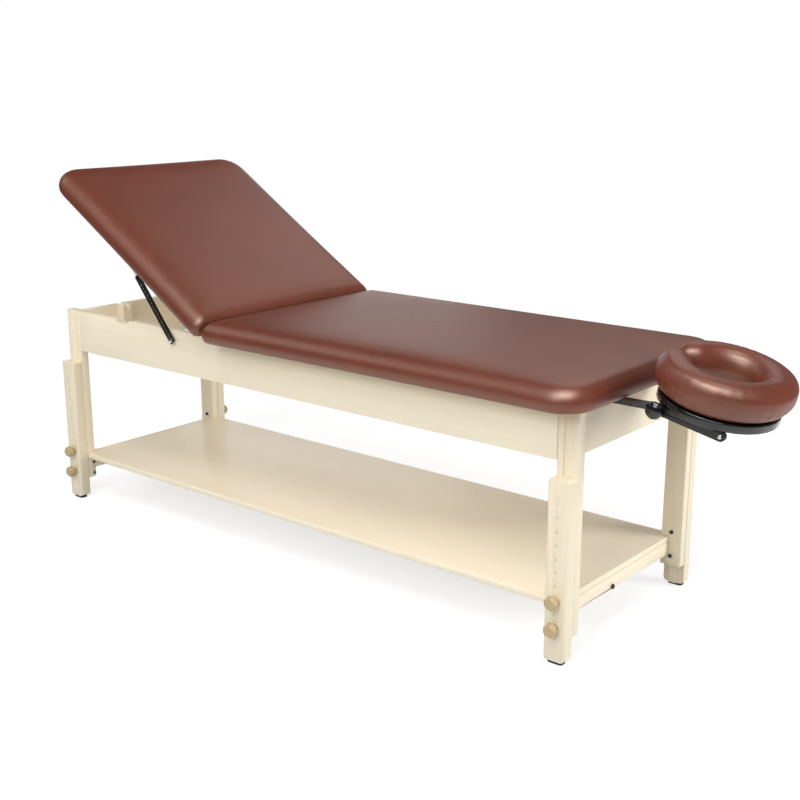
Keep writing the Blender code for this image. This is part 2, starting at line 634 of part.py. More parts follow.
def build_cradle(root, platform, leather, plastic, black, grey, steel):
    """Face cradle: sliding arms on a pivot rod, tilting rails with plate and cushion, clamp knob."""
    half = ARM_WIDTH / 2
    rise = ARM_HEIGHT / 2
    rail_in = ARM_Y + half + GAP
    rail_out = rail_in + RAIL_BOARD
    for name, sy in SIDES.items():
        corners = [(ARM_START, CRADLE_Z - rise), (CRADLE_X + rise, CRADLE_Z - rise),
                   (CRADLE_X + rise, CRADLE_Z + rise), (ARM_START, CRADLE_Z + rise)]
        outline = rounded(corners, [0.002, rise - 0.0001, rise - 0.0001, 0.002], 5)
        arm = prism(bmesh.new(), outline, sy * (ARM_Y - half), sy * (ARM_Y + half), "Y")
        arm = piece("cradle_arm_" + name, arm, grey, root)
        bore = circle((CRADLE_X, CRADLE_Z), BOLT_RADIUS + BOLT_PLAY, 12)
        carve(arm, prism(bmesh.new(), bore, sy * (ARM_Y - 0.02), sy * (ARM_Y + 0.02), "Y"))

        lift = RAIL_HEIGHT / 2
        corners = [(-lift - 0.001, -lift), (RAIL_END, -lift), (RAIL_END, lift), (-lift - 0.001, lift)]
        outline = rounded(corners, [lift - 0.0001] * 4, 5)
        rail = prism(bmesh.new(), outline, sy * rail_in, sy * rail_out, "Y")
        rail = piece("cradle_rail_" + name, rail, black, platform)
        bores = prism(bmesh.new(), circle((0.0, 0.0), BOLT_RADIUS + BOLT_PLAY, 12), sy * 0.09, sy * 0.15, "Y")
        prism(bores, circle((RAIL_END - lift, 0.0), 0.0025 + BOLT_PLAY, 10), sy * 0.09, sy * 0.15, "Y")
        carve(rail, bores)

    rod = bmesh.new()
    tail = rail_out + 0.006
    profile = [(0.0040, -tail), (0.0075, -tail + 0.0015), (0.0075, -rail_out - GAP),
               (BOLT_RADIUS, -rail_out - GAP), (BOLT_RADIUS, rail_out + GAP)]
    turned(rod, profile, facing((0, -1, 0), (CRADLE_X, 0.0, CRADLE_Z)), 12)
    piece("cradle_pivot_rod", rod, steel, root)

    shares = [(0.50, 0.0), (0.55, 0.15), (0.86, 0.22), (1.0, 0.45), (0.93, 0.72), (0.70, 0.91), (0.35, 1.0)]
    profile = [(CRADLE_KNOB_RADIUS * out, CRADLE_KNOB_LENGTH * along) for out, along in shares]
    knob = turned(bmesh.new(), profile, facing((0, -1, 0)), 28)
    piece("cradle_knob", knob, plastic, root, (CRADLE_X, -rail_out - 2 * GAP, CRADLE_Z))

    for name, sy in SIDES.items():
        profile = [(0.0025, -RAIL_BOARD), (0.0025, GAP), (0.0052, GAP), (0.0046, 0.0026), (0.0028, 0.0036)]
        seat = facing((0, sy, 0), (RAIL_END - RAIL_HEIGHT / 2, sy * rail_out, 0.0))
        piece("cradle_rail_bolt_" + name, turned(bmesh.new(), profile, seat, 10), steel, platform)

    base = RAIL_HEIGHT / 2 + GAP
    piece("cradle_plate", plate_shape(base), plastic, platform)
    piece("face_cushion", cushion_shape(base + PLATE_BOARD + GAP), leather, platform)


def finish_pieces(root):
    """Shade the round faces smooth and bring the middle of the table's length over the origin."""
    bpy.context.view_layer.update()
    reach = []
    for obj in bpy.data.objects:
        if obj.type == "MESH":
            obj.data.shade_smooth()
            obj.data.set_sharp_from_angle(angle=math.radians(35))
            reach += [(obj.matrix_world @ vert.co).x for vert in obj.data.vertices]
    root.location.x = -(min(reach) + max(reach)) / 2


def main():
    """Build every piece of the table."""
    clear_scene()
    wood = finish("painted_wood", (0.82, 0.77, 0.64), 0.45)
    tan = finish("knob_wood", (0.55, 0.42, 0.25), 0.50)
    ply = finish("deck_ply", (0.62, 0.47, 0.30), 0.60)
    leather = finish("brown_leather", (0.22, 0.09, 0.06), 0.42)
    rubber = finish("foot_rubber", (0.03, 0.03, 0.03), 0.80)
    black = finish("black_steel", (0.03, 0.03, 0.03), 0.45, 0.4)
    plastic = finish("black_plastic", (0.03, 0.03, 0.03), 0.50)
    grey = finish("grey_steel", (0.16, 0.16, 0.16), 0.50, 0.3)
    steel = finish("bright_steel", (0.55, 0.55, 0.55), 0.30, 1.0)
    root = empty("massage_table", None, (0.0, 0.0, 0.0))
    back = empty("back_tilt", root, (HINGE_X, 0.0, HINGE_Z), BACK_TILT)
    platform = empty("cradle_tilt", root, (CRADLE_X, 0.0, CRADLE_Z), CRADLE_TILT)
    build_frame(root, wood, black)
    build_legs(root, wood, rubber, tan)
    build_top(root, back, leather, ply, steel)
    build_stays(root, back, black, steel)
    build_cradle(root, platform, leather, plastic, black, grey, steel)
    finish_pieces(root)


main()
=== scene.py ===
"""Looks for a wooden massage table with a raised back section and a face cradle.

The frame, legs and metalwork keep their CAD forms and get painted wood, steel and plastic.
The two long pads and the face cushion are foam under leather: each is made here in the form
of its CAD solid, with an even mesh that a short cloth simulation fills out.
"""

import math

import bmesh
import bpy
from bpy.props import FloatProperty, FloatVectorProperty, PointerProperty
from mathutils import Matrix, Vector


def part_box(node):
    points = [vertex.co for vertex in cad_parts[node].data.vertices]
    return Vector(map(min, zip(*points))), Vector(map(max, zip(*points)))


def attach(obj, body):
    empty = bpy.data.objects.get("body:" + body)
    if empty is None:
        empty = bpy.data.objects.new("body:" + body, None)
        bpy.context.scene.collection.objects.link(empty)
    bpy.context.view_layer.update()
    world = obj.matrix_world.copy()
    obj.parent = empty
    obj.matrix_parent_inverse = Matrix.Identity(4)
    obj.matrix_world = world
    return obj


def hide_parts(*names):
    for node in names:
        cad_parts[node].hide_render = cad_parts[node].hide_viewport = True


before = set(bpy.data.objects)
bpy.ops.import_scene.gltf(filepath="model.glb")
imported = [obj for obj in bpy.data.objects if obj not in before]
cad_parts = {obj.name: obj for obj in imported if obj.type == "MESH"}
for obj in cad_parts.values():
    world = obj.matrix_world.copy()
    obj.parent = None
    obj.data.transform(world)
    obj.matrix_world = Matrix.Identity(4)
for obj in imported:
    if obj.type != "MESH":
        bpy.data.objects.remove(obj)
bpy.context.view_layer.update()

bl_info = {
    "name": "Massage table",
    "version": (1, 0, 0),
    "blender": (4, 5, 0),
    "location": "3D View > Sidebar > Massage table",
    "description": "Dresses a massage table: painted frame, leather pads, steel stays and a face cradle",
    "category": "Object",
}

CORNERS = ("front_left", "front_right", "back_left", "back_right")
SIDES = ("front", "back")
LEVELS = ("lower", "upper")

# Covers of the long pads: each cover, the CAD pad that it stands for and the body that it moves with
PADS = (("main_cover", "main_pad", "frame"), ("back_cover", "back_pad", "back_section"))

# Cloth steps, how far down a vertex looks where the cover is held, and a face that the pad may lie on
FILL_STEPS = 12
UNDERSIDE = -0.3
LYING = -0.5

# Air pressure in the covers, how much larger than the foam they are cut, and how tightly they end up filled
PAD_PRESSURE = 3.0
PAD_SLACK = 0.0
CUSHION_PRESSURE = 4.0
CUSHION_SLACK = 0.02

# Half sizes of the face cushion's oval and of the tube that runs round it
CUSHION_LONG = 0.150
CUSHION_WIDE = 0.163
CUSHION_TUBE = 0.040

# Where the folds lie round the far bend of the face cushion, in radians, and how deep each is
FOLDS = ((0.05, 1.0), (0.38, 0.55), (-0.26, 0.45), (-0.62, 0.25))
FOLD_WIDTH = 0.07

# Slopes on the tube where the ridge and the folds lie, and how far each spreads, in degrees:
# 0 looks outward and 90 up
RIDGE_SLOPE = 50.0
RIDGE_SPREAD = 14.0
FOLD_SLOPE = 140.0
FOLD_SPREAD = 34.0

# How fast the ridge comes up from the ends of the horseshoe, for each radian
RIDGE_RISE = 1.6

# Row of adjusting holes in each leg
FIRST_HOLE = 0.0885
HOLE_PITCH = 0.03225
HOLE_COUNT = 10
HOLE_RADIUS = 0.0034

# Liners of the holes: how deep they reach, and the shallow dish in their bottoms
LINER_REACH = 0.0045
LINER_DISH = 0.0003
LINER_DISH_SHARE = 0.6

# Screws that hold the shelf rails to the posts: heights, distance from the post's inner edge,
# and half the section of a head as radii and heights
SCREW_HEIGHTS = (0.1095, 0.0749)
SCREW_INSET = 0.006
SCREW_HEAD = ((0.0046, 0.0002), (0.0046, 0.0010), (0.0036, 0.0022), (0.0020, 0.0026), (0.0017, 0.0012))

# Sides of a turned form, and the bend below which edges are shaded as one round face
TURNED_SIDES = 16
SMOOTH_ANGLE = math.radians(35.0)

# Where the picture is taken from
CAMERA_PLACE = (2.02398, -2.436, 1.279)
CAMERA_TURN = (math.radians(75.004), 0.0, math.radians(39.588))
CAMERA_LENS = 54.96
CAMERA_SENSOR = 36.0

# Soft lamps: where each stands, what it points at, its width and its height
LAMPS = {
    "key": ((0.7, -4.1, 2.8), (0.3, 0.0, 0.5), 2.2, 1.4),
    "left": ((-2.8, -1.5, 3.2), (0.1, -0.1, 0.6), 2.0, 2.0),
    "side": ((2.5, -3.5, 2.9), (0.5, 0.0, 0.5), 2.0, 2.0),
    "over": ((0.7, -2.0, 3.5), (0.2, -0.2, 0.5), 1.8, 1.8),
    "sheen": ((1.8, -1.3, 3.6), (0.8, -0.2, 0.6), 2.2, 2.2),
    "right": ((4.4, 1.6, 1.6), (0.6, 0.0, 0.5), 2.0, 2.0),
    "top": ((-0.9, 3.2, 3.5), (-0.5, 0.0, 0.8), 2.1, 2.1),
    "rear": ((-4.2, 4.2, 1.7), (-0.4, 0.0, 0.7), 2.4, 2.4),
}

# The lamp that shows in gloss alone, and the one that never shows in gloss
GLOSS_LAMP = "sheen"
MATT_LAMP = "right"

# Shares of the floor's reach between which it fades away
FADE_START = 0.45
FADE_END = 0.98

# How far back a direction points where the backdrop in reflections comes in, and how high where it ends
# and where the low sky turns into ceiling: from 0 at the horizon to 1 overhead
BACKDROP_SIDE = (0.0, 0.5)
BACKDROP_TOP = (0.15, 0.60)
SKY_TOP = (0.30, 0.80)


def length(name, description, default, low, high):
    """A size in metres."""
    return FloatProperty(name=name, description=description, default=default, min=low, max=high,
                         unit="LENGTH", precision=4)


def colour(name, description, default):
    """A colour in linear values."""
    return FloatVectorProperty(name=name, description=description, default=default, size=3,
                               min=0.0, max=1.0, subtype="COLOR")


def power(name, description, default):
    """The power of a lamp."""
    return FloatProperty(name=name, description=description, default=default, min=0.0, unit="POWER")


def amount(name, description, default):
    """A plain number from 0 up."""
    return FloatProperty(name=name, description=description, default=default, min=0.0)


class TableSizes(bpy.types.PropertyGroup):
    """Sizes of the upholstery and of the relief on the surfaces"""

    pad_mesh: length("Pad mesh", "Face size of the long pads", 0.0065, 0.004, 0.02)
    cushion_mesh: length("Cushion mesh", "Face size of the face cushion", 0.004, 0.003, 0.01)
    pad_swell: length("Pad swell", "Most that the foam pushes out a long pad", 0.004, 0.0, 0.008)
    side_roll: length("Side roll", "How far the pads' long sides round out", 0.005, 0.0, 0.01)
    cushion_swell: length("Cushion swell", "Most that the foam pushes out the cushion", 0.006, 0.0, 0.012)
    ridge: length("Cushion ridge", "Height of the ridge round the face cushion", 0.0025, 0.0, 0.006)
    board_edge: length("Board edge", "Rounding of the painted edges", 0.0014, 0.0, 0.003)
    metal_edge: length("Metal edge", "Rounding of the steel and plastic edges", 0.0005, 0.0, 0.002)
    liner_depth: length("Liner depth", "How far the leg holes are let in", 0.0022, 0.0005, 0.004)
    grain_pitch: length("Grain pitch", "Distance between the pebbles of the leather", 0.0024, 0.0008, 0.008)
    fold_depth: length("Fold depth", "Depth of the folds in the face cushion", 0.005, 0.0, 0.01)


class TableColours(bpy.types.PropertyGroup):
    """Colours of the pieces"""

    leather: colour("Leather", "Covers of the pads and the face cushion", (0.142, 0.0262, 0.0118))
    paint: colour("Paint", "Painted posts and legs", (0.82, 0.728, 0.555))
    # The boards' colour is the posts' paint made paler: painted light that stands in for the light the pads
    # and table top keep off the aprons, stretchers and shelf
    boards: colour("Boards", "Painted aprons, stretchers and shelf", (0.90, 0.80, 0.62))
    knob: colour("Knob wood", "Fluted knobs on the legs", (0.44, 0.34, 0.18))
    ply: colour("Plywood", "Boards under the pads", (0.55, 0.40, 0.24))
    black: colour("Black steel", "Stays, rails and bolt heads", (0.006, 0.006, 0.0065))
    plastic: colour("Black plastic", "Cradle plate and knob", (0.004, 0.0036, 0.0036))
    rubber: colour("Rubber", "Feet", (0.014, 0.014, 0.015))
    grey: colour("Grey steel", "Cradle arms", (0.10, 0.10, 0.11))
    steel: colour("Bright steel", "Washers, bolts and hinge", (0.62, 0.61, 0.59))
    zinc: colour("Zinc", "Bars inside the stays", (0.80, 0.79, 0.76))


class TableStage(bpy.types.PropertyGroup):
    """Floor and light"""

    floor: colour("Floor", "Pale floor", (0.50, 0.50, 0.50))
    floor_lift: amount("Floor lift", "How much paler the floor looks than it is lit", 0.65)
    floor_reach: length("Floor reach", "Radius at which the floor has faded away", 4.0, 1.5, 12.0)
    key: power("Key lamp", "Soft lamp in front of the table", 62.0)
    left: power("Left lamp", "Soft lamp high to the left of the back section", 22.0)
    side: power("Side lamp", "Soft lamp above the camera", 5.0)
    over: power("Overhead lamp", "Soft lamp high over the front of the table", 58.0)
    sheen: power("Sheen lamp", "Soft lamp over the right end that shows in gloss alone", 165.0)
    right: power("Right lamp", "Soft lamp beyond the face cradle", 125.0)
    top: power("Top lamp", "Soft lamp above and behind the table", 20.0)
    rear: power("Rear lamp", "Soft lamp far behind the back section", 21.0)
    sky: amount("Low sky", "Level of the light from all around near the floor", 0.64)
    ceiling: amount("Ceiling", "Level of the light from overhead", 0.22)
    gloss: amount("Sky gloss", "Level of the dark studio in reflections", 0.06)
    backdrop: amount("Backdrop", "Level of the pale backdrop in reflections", 0.20)


class MassageTable(bpy.types.PropertyGroup):
    """What can be changed on the table"""

    sizes: PointerProperty(type=TableSizes)
    colours: PointerProperty(type=TableColours)
    stage: PointerProperty(type=TableStage)


class Shade:
    """A shader socket that takes part in plain arithmetic"""

    def __init__(self, tree, socket):
        self.tree = tree
        self.socket = socket

    def node(self, kind, settings=None, inputs=None, output=0):
        """Adds a node, sets its options and then its inputs, and gives one of its outputs."""
        made = self.tree.nodes.new(kind)
        for key, value in (settings or {}).items():
            setattr(made, key, value)
        for key, value in (inputs or {}).items():
            feed(self.tree, made.inputs[key], value)
        return Shade(self.tree, made.outputs[output])

    def math(self, operation, *values):
        """One Math node."""
        return self.node("ShaderNodeMath", {"operation": operation}, dict(enumerate(values)))

    def __add__(self, other):
        return self.math("ADD", self, other)

    def __radd__(self, other):
        return self.math("ADD", other, self)

    def __sub__(self, other):
        return self.math("SUBTRACT", self, other)

    def __rsub__(self, other):
        return self.math("SUBTRACT", other, self)

    def __mul__(self, other):
        return self.math("MULTIPLY", self, other)

    def __rmul__(self, other):
        return self.math("MULTIPLY", other, self)

    def ramp(self, low, high):
        """0 up to low, 1 from high, and smooth between them."""
        return self.node("ShaderNodeMapRange", {"interpolation_type": "SMOOTHSTEP"},
                         {"Value": self, "From Min": low, "From Max": high})

    def mix(self, first, second):
        """The first colour where this is 0, and the second where it is 1."""
        return self.node("ShaderNodeMix", {"data_type": "RGBA"}, {0: self, 6: first, 7: second}, 2)

    def stretch(self, x, y, z):
        """A vector with each part multiplied."""
        return self.node("ShaderNodeVectorMath", {"operation": "MULTIPLY"}, {0: self, 1: (x, y, z)})

    def clouds(self, scale, detail, roughness, distortion=0.0):
        """Noise at this place, from 0 to 1."""
        return self.node("ShaderNodeTexNoise", None, {
            "Vector": self, "Scale": scale, "Detail": detail,
            "Roughness": roughness, "Distortion": distortion})

    def bump(self, distance, strength):
        """A normal from this height."""
        return self.node("ShaderNodeBump", None, {
            "Height": self, "Distance": distance, "Strength": strength})


def feed(tree, socket, value):
    """Links a shade to the socket, or sets a plain value on it."""
    if isinstance(value, Shade):
        tree.links.new(value.socket, socket)
    else:
        socket.default_value = value


def tint(rgb, share):
    """A colour made lighter or darker, with alpha."""
    return (*[min(1.0, part * share) for part in rgb], 1.0)


class Finish:
    """A material under way: its surface, and the place and edges of the piece it is on"""

    def __init__(self, name):
        self.material = bpy.data.materials.new(name)
        self.material.use_nodes = True
        self.tree = self.material.node_tree
        self.surface = self.tree.nodes["Principled BSDF"]
        coordinates = self.tree.nodes.new("ShaderNodeTexCoord")
        self.place = Shade(self.tree, coordinates.outputs["Object"])
        geometry = self.tree.nodes.new("ShaderNodeNewGeometry")
        self.edges = Shade(self.tree, geometry.outputs["Pointiness"])

    def done(self, **inputs):
        """Sets the surface's inputs, their names written with underscores."""
        for key, value in inputs.items():
            feed(self.tree, self.surface.inputs[key.replace("_", " ")], value)
        return self.material


def leather(table):
    """Brown upholstery leather: pebbled, a little cloudy, with a soft sheen."""
    made = Finish("pebbled_leather")
    base = table.colours.leather
    patches = made.place.clouds(4.5, 3.0, 0.55).ramp(0.32, 0.70)
    mottle = made.place.clouds(38.0, 2.0, 0.6).ramp(0.30, 0.72)
    pebbles = made.place.node("ShaderNodeTexVoronoi", {"feature": "DISTANCE_TO_EDGE"}, {
        "Vector": made.place, "Scale": 1.0 / table.sizes.grain_pitch}, "Distance")
    raised = pebbles.ramp(0.0, 0.35)
    wear = made.edges.ramp(0.53, 0.62)
    tone = patches * 0.45 + mottle * 0.30 + raised * 0.25
    body = tone.mix(tint(base, 0.88), tint(base, 1.12))
    height = raised * 0.5 + mottle * 0.5
    return made.done(
        Base_Color=(wear * 0.35).mix(body, tint(base, 1.5)),
        Roughness=0.43 + mottle * 0.03 - raised * 0.02,
        Specular_IOR_Level=1.0,
        Specular_Tint=(1.0, 0.86, 0.72, 1.0),
        Normal=height.bump(0.0003, 0.07))


def painted_wood(axis, base, name):
    """Paint on hardwood, with the grain showing faintly along one axis."""
    made = Finish(name)
    scale = [34.0, 34.0, 34.0]
    scale[axis] = 1.8
    fibre = made.place.stretch(*scale).clouds(3.0, 6.0, 0.62, 0.5)
    grain = fibre.ramp(0.36, 0.68)
    patches = made.place.clouds(3.2, 2.0, 0.5).ramp(0.30, 0.72)
    rubbed = made.edges.ramp(0.52, 0.60)
    tone = grain * 0.55 + patches * 0.45
    body = tone.mix(tint(base, 0.965), tint(base, 1.025))
    return made.done(
        Base_Color=(rubbed * 0.4).mix(body, tint(base, 1.15)),
        Roughness=0.34 + grain * 0.10 + patches * 0.06,
        Coat_Weight=0.12 * patches,
        Normal=grain.bump(0.0003, 0.06))


def upright_wood(table):
    """Cream paint with upright grain, for the posts and legs."""
    return painted_wood(2, table.colours.paint, "cream_wood_z")


def turned_wood(table):
    """Tan hardwood of the fluted knobs."""
    made = Finish("tan_wood")
    base = table.colours.knob
    rings = made.place.stretch(60.0, 14.0, 60.0).clouds(4.0, 4.0, 0.6, 0.6).ramp(0.34, 0.68)
    rubbed = made.edges.ramp(0.50, 0.60)
    body = rings.mix(tint(base, 0.80), tint(base, 1.12))
    return made.done(
        Base_Color=(rubbed * 0.5).mix(body, tint(base, 1.35)),
        Roughness=0.42 + rings * 0.12,
        Normal=rings.bump(0.0003, 0.15))


def plywood(table):
    """Bare plywood with fine layers through its thickness."""
    made = Finish("bare_plywood")
    base = table.colours.ply
    layers = made.place.stretch(2.0, 2.0, 420.0).clouds(1.0, 2.0, 0.5, 0.2).ramp(0.40, 0.60)
    fibre = made.place.stretch(3.0, 70.0, 70.0).clouds(2.0, 5.0, 0.6, 0.4).ramp(0.34, 0.70)
    tone = layers * 0.5 + fibre * 0.5
    return made.done(
        Base_Color=tone.mix(tint(base, 0.78), tint(base, 1.12)),
        Roughness=0.58 + fibre * 0.14,
        Normal=fibre.bump(0.0003, 0.15))


def metal(name, base, metallic, roughness, rub):
    """Painted or bare steel with faint brushing, and edges rubbed bright."""
    made = Finish(name)
    brushed = made.place.stretch(90.0, 600.0, 600.0).clouds(1.5, 3.0, 0.6).ramp(0.30, 0.74)
    smears = made.place.clouds(26.0, 3.0, 0.6).ramp(0.35, 0.70)
    rubbed = made.edges.ramp(0.53, 0.64)
    body = (brushed * 0.6 + smears * 0.4).mix(tint(base, 0.80), tint(base, 1.20))
    return made.done(
        Base_Color=(rubbed * 0.5).mix(body, tint(base, rub)),
        Metallic=metallic,
        Roughness=roughness + smears * 0.12 - rubbed * 0.06,
        Normal=brushed.bump(0.0001, 0.10))


def moulded(name, base, roughness, coat):
    """Plastic or rubber with a fine moulded texture."""
    made = Finish(name)
    specks = made.place.clouds(900.0, 2.0, 0.6).ramp(0.35, 0.70)
    dust = made.place.clouds(18.0, 4.0, 0.6).ramp(0.48, 0.78)
    rubbed = made.edges.ramp(0.54, 0.66)
    body = (dust * 0.30 + specks * 0.20).mix(tint(base, 0.9), tint(base, 2.2))
    return made.done(
        Base_Color=(rubbed * 0.5).mix(body, tint(base, 3.0)),
        Roughness=roughness + dust * 0.14 + specks * 0.05,
        Coat_Weight=coat * (1.0 - dust),
        Normal=specks.bump(0.0001, 0.15))


def black_steel(table):
    """Black painted steel."""
    return metal("black_enamel", table.colours.black, 0.0, 0.30, 3.2)


def grey_steel(table):
    """Dark grey steel of the cradle arms."""
    return metal("dark_steel", table.colours.grey, 1.0, 0.36, 1.8)


def pale_steel(table):
    """Dull zinc plating of the bars inside the stays."""
    return metal("pale_zinc", table.colours.zinc, 0.2, 0.45, 1.1)


def bright_steel(table):
    """Plated steel."""
    return metal("plated_steel", table.colours.steel, 1.0, 0.22, 1.2)


def black_plastic(table):
    """Glossy black plastic."""
    return moulded("glossy_plastic", table.colours.plastic, 0.16, 0.5)


def foot_rubber(table):
    """Dull black rubber."""
    return moulded("dull_rubber", table.colours.rubber, 0.70, 0.0)


def smooth_shading():
    """Geometry nodes that shade round faces smoothly and keep the sharp edges, made once."""
    group = bpy.data.node_groups.get("smooth_shading")
    if group:
        return group
    group = bpy.data.node_groups.new("smooth_shading", "GeometryNodeTree")
    for way in ("INPUT", "OUTPUT"):
        group.interface.new_socket("Geometry", in_out=way, socket_type="NodeSocketGeometry")
    mesh = Shade(group, group.nodes.new("NodeGroupInput").outputs[0])
    plain = mesh.node("GeometryNodeRemoveAttribute", None, {"Geometry": mesh, "Name": "custom_normal"})
    angle = mesh.node("GeometryNodeInputMeshEdgeAngle")
    round_edge = angle.node("FunctionNodeCompare", {"data_type": "FLOAT", "operation": "LESS_THAN"},
                            {"A": angle, "B": SMOOTH_ANGLE})
    faces = plain.node("GeometryNodeSetShadeSmooth", {"domain": "FACE"},
                       {"Geometry": plain, "Shade Smooth": True})
    edges = faces.node("GeometryNodeSetShadeSmooth", {"domain": "EDGE"},
                       {"Geometry": faces, "Shade Smooth": round_edge})
    group.links.new(edges.socket, group.nodes.new("NodeGroupOutput").inputs[0])
    return group


def even_out(piece, edge):
    """Joins a CAD piece's faces, rounds its sharp edges a little and shades it smoothly."""
    joined = piece.modifiers.new("joined", "WELD")
    joined.merge_threshold = 0.00001
    if edge > 0.0:
        flat = piece.modifiers.new("flat", "DECIMATE")
        flat.decimate_type = "DISSOLVE"
        flat.angle_limit = math.radians(0.5)
        eased = piece.modifiers.new("eased", "BEVEL")
        eased.width = edge
        eased.segments = 2
        eased.limit_method = "ANGLE"
        eased.angle_limit = SMOOTH_ANGLE
    shaded = piece.modifiers.new("shaded", "NODES")
    shaded.node_group = smooth_shading()


def dress(material, *names, edge=0.0):
    """Puts one material on CAD pieces and evens out their meshes."""
    for name in names:
        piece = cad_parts[name]
        piece.material_slots[0].material = material
        even_out(piece, edge)


def add_piece(name, bm, material, body):
    """A new piece that moves with a body."""
    bmesh.ops.recalc_face_normals(bm, faces=bm.faces)
    mesh = bpy.data.meshes.new(name)
    bm.to_mesh(mesh)
    bm.free()
    mesh.materials.append(material)
    made = bpy.data.objects.new(name, mesh)
    bpy.context.scene.collection.objects.link(made)
    shaded = made.modifiers.new("shaded", "NODES")
    shaded.node_group = smooth_shading()
    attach(made, body)


def lathe(bm, profile, seat, axis):
    """A closed round form: rings of (radius, distance) from the seat along an axis."""
    turn = axis.to_track_quat("Z", "Y")
    rings = []
    for radius, along in profile:
        angles = [2.0 * math.pi * step / TURNED_SIDES for step in range(TURNED_SIDES)]
        spots = [Vector((radius * math.cos(a), radius * math.sin(a), along)) for a in angles]
        rings.append([bm.verts.new(seat + turn @ spot) for spot in spots])
    bm.faces.new(rings[0])
    bm.faces.new(rings[-1])
    for lower, upper in zip(rings, rings[1:]):
        for step in range(TURNED_SIDES):
            bm.faces.new((lower[step - 1], lower[step], upper[step], upper[step - 1]))


def hole_liners(table, corner):
    """Painted bottoms of one leg's row of holes, let in below its face."""
    low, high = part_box("leg_" + corner)
    out = -1.0 if "front" in corner else 1.0
    face = low[1] if out < 0.0 else high[1]
    let_in = table.sizes.liner_depth
    dish = (HOLE_RADIUS * LINER_DISH_SHARE, -let_in - LINER_DISH)
    profile = ((HOLE_RADIUS, -LINER_REACH), (HOLE_RADIUS, -let_in), dish)
    bm = bmesh.new()
    for step in range(HOLE_COUNT):
        seat = Vector(((low[0] + high[0]) / 2, face, FIRST_HOLE + step * HOLE_PITCH))
        lathe(bm, profile, seat, Vector((0.0, out, 0.0)))
    cream = shared("cream_wood_z", upright_wood, table)
    add_piece("hole_liners_" + corner, bm, cream, "leg_" + corner)


def post_screws(table, corner):
    """Two low screw heads on the inner side of a post, where a shelf rail is held."""
    low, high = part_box("post_" + corner)
    inward = 1.0 if "left" in corner else -1.0
    side = high[0] if inward > 0.0 else low[0]
    edge = high[1] - SCREW_INSET if "front" in corner else low[1] + SCREW_INSET
    bm = bmesh.new()
    for height in SCREW_HEIGHTS:
        lathe(bm, SCREW_HEAD, Vector((side, edge, height)), Vector((inward, 0.0, 0.0)))
    black = shared("black_enamel", black_steel, table)
    add_piece("post_screws_" + corner, bm, black, "frame")


def shared(name, maker, table):
    """A material that several groups of pieces use, made once."""
    return bpy.data.materials.get(name) or maker(table)


def settled(made):
    """Works an object's modifiers into its mesh."""
    shown = made.evaluated_get(bpy.context.evaluated_depsgraph_get())
    mesh = bpy.data.meshes.new_from_object(shown)
    made.modifiers.clear()
    old = made.data
    made.data = mesh
    bpy.data.meshes.remove(old)


def up_of(mesh):
    """The way a pad's top faces: away from the flat faces that it lies on."""
    areas = {}
    for face in mesh.polygons:
        if face.normal.z < LYING:
            key = tuple(round(part, 2) for part in face.normal)
            areas[key] = areas.get(key, 0.0) + face.area
    return -Vector(max(areas, key=areas.get)).normalized()


def even_copy(name, node, face_size):
    """A new object in a CAD solid's form, with faces of one size and soft joins."""
    made = bpy.data.objects.new(name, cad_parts[node].data.copy())
    bpy.context.scene.collection.objects.link(made)
    even = made.modifiers.new("even", "REMESH")
    even.mode = "VOXEL"
    even.voxel_size = face_size
    soft = made.modifiers.new("soft", "SMOOTH")
    soft.factor = 0.5
    soft.iterations = 4
    settled(made)
    return made


def fill(made, up, pressure, swell, slack):
    """Fills a cover over its foam by cloth under pressure, and keeps its outward moves within the swell."""
    mesh = made.data
    start = [(vertex.co.copy(), vertex.normal.copy()) for vertex in mesh.vertices]
    under = [vertex.index for vertex in mesh.vertices if vertex.normal.dot(up) < UNDERSIDE]
    held = made.vertex_groups.new(name="held")
    held.add(under, 1.0, "REPLACE")
    cover = made.modifiers.new("cover", "CLOTH")
    cover.settings.vertex_group_mass = held.name
    cover.settings.use_pressure = True
    cover.settings.uniform_pressure_force = pressure
    cover.settings.shrink_min = -slack
    cover.settings.effector_weights.gravity = 0.0
    cover.point_cache.frame_start = 1
    cover.point_cache.frame_end = FILL_STEPS
    scene = bpy.context.scene
    for step in range(1, FILL_STEPS + 1):
        scene.frame_set(step)
    settled(made)
    scene.frame_set(1)
    rises = [(vertex.co - place).dot(out) for vertex, (place, out) in zip(made.data.vertices, start)]
    if not all(map(math.isfinite, rises)):
        raise RuntimeError(f"the cover of {made.name} came apart")
    share = min(1.0, swell / max(rises))
    for vertex, (place, out), rise in zip(made.data.vertices, start, rises):
        vertex.co = place + out * (share * max(0.0, rise))
    made.vertex_groups.clear()


def round_sides(made, up, roll):
    """Rounds out the long sides of a pad, most at half its height."""
    vertices = made.data.vertices
    heights = [vertex.co.dot(up) for vertex in vertices]
    low, high = min(heights), max(heights)
    sides = [vertex.normal - up * vertex.normal.dot(up) for vertex in vertices]
    for vertex, height, side in zip(vertices, heights, sides):
        level = 2.0 * (height - low) / (high - low) - 1.0
        if side.y * vertex.co.y > 0.0:
            vertex.co += side * (roll * abs(side.y) * (1.0 - level * level))


def bell(value, middle, width):
    """1 at the middle, falling away to both sides."""
    return math.exp(-((value - middle) / width) ** 2)


